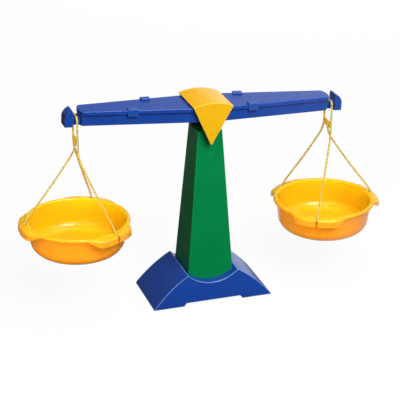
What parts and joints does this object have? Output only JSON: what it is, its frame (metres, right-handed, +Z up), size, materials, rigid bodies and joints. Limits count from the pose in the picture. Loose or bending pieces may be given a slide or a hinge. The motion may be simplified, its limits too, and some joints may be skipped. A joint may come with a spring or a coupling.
{
  "type": "two-pan classroom balance",
  "caption": "Plastic pan balance: hollow arched base, tapered column, tilting beam with sliding zero riders and a pointer saddle, and a swinging dished pan on each end.",
  "frame": {"origin": "centre of the base's footprint on the table", "axes": "+Z up, +X along the beam to the right pan, -Y the front, where the pointer is read"},
  "size_m": [0.4319, 0.1296, 0.2425],
  "materials": {
    "blue_plastic": "semi-gloss moulded",
    "green_plastic": "semi-gloss moulded",
    "yellow_plastic": "semi-gloss moulded",
    "rider_plastic": "semi-gloss moulded",
    "hanger_plastic": "semi-gloss moulded",
    "pan_plastic": "semi-gloss moulded",
    "steel": "plain"
  },
  "bodies": {
    "stand": {"base": "blue_plastic", "column": "green_plastic", "column_screw_1": "steel", "column_screw_2": "steel", "column_screw_3": "steel", "column_screw_4": "steel"},
    "beam": {"beam_body": "blue_plastic", "beam_cover": "blue_plastic", "cover_screw_1": "steel", "cover_screw_2": "steel", "cover_screw_3": "steel", "cover_screw_4": "steel", "pivot_axle": "steel", "axle_clip_front": "steel", "axle_clip_back": "steel", "saddle": "yellow_plastic"},
    "rider_left_front": {"rider_left_front": "rider_plastic"},
    "rider_left_back": {"rider_left_back": "rider_plastic"},
    "rider_right_front": {"rider_right_front": "rider_plastic"},
    "rider_right_back": {"rider_right_back": "rider_plastic"},
    "pan_set_left": {"hanger_left": "hanger_plastic", "pan_left": "pan_plastic"},
    "pan_set_right": {"hanger_right": "hanger_plastic", "pan_right": "pan_plastic"}
  },
  "joints": [
    {"name": "beam_tilt", "type": "hinge", "parent": "stand", "child": "beam", "pos_m": [0, 0, 0.2355], "axis": [0, 1, 0], "range_deg": [-12.6, 7.4]},
    {"name": "pan_left_swing", "type": "hinge", "parent": "beam", "child": "pan_set_left", "pos_m": [-0.15028, 0, 0.23281], "axis": [0, 1, 0], "range_deg": [-17, 20]},
    {"name": "pan_right_swing", "type": "hinge", "parent": "beam", "child": "pan_set_right", "pos_m": [0.14941, 0, 0.21921], "axis": [0, 1, 0], "range_deg": [-20, 17]},
    {"name": "rider_left_front_slide", "type": "slide", "parent": "beam", "child": "rider_left_front", "axis": [0.9949, -0.0899, -0.0452], "range_m": [-0.04769, 0.05874]},
    {"name": "rider_left_back_slide", "type": "slide", "parent": "beam", "child": "rider_left_back", "axis": [0.9949, 0.0899, -0.0452], "range_m": [-0.07149, 0.03494]},
    {"name": "rider_right_front_slide", "type": "slide", "parent": "beam", "child": "rider_right_front", "axis": [0.9949, 0.0899, -0.0452], "range_m": [-0.01807, 0.08836]},
    {"name": "rider_right_back_slide", "type": "slide", "parent": "beam", "child": "rider_right_back", "axis": [0.9949, -0.0899, -0.0452], "range_m": [-0.01345, 0.09298]}
  ]
}
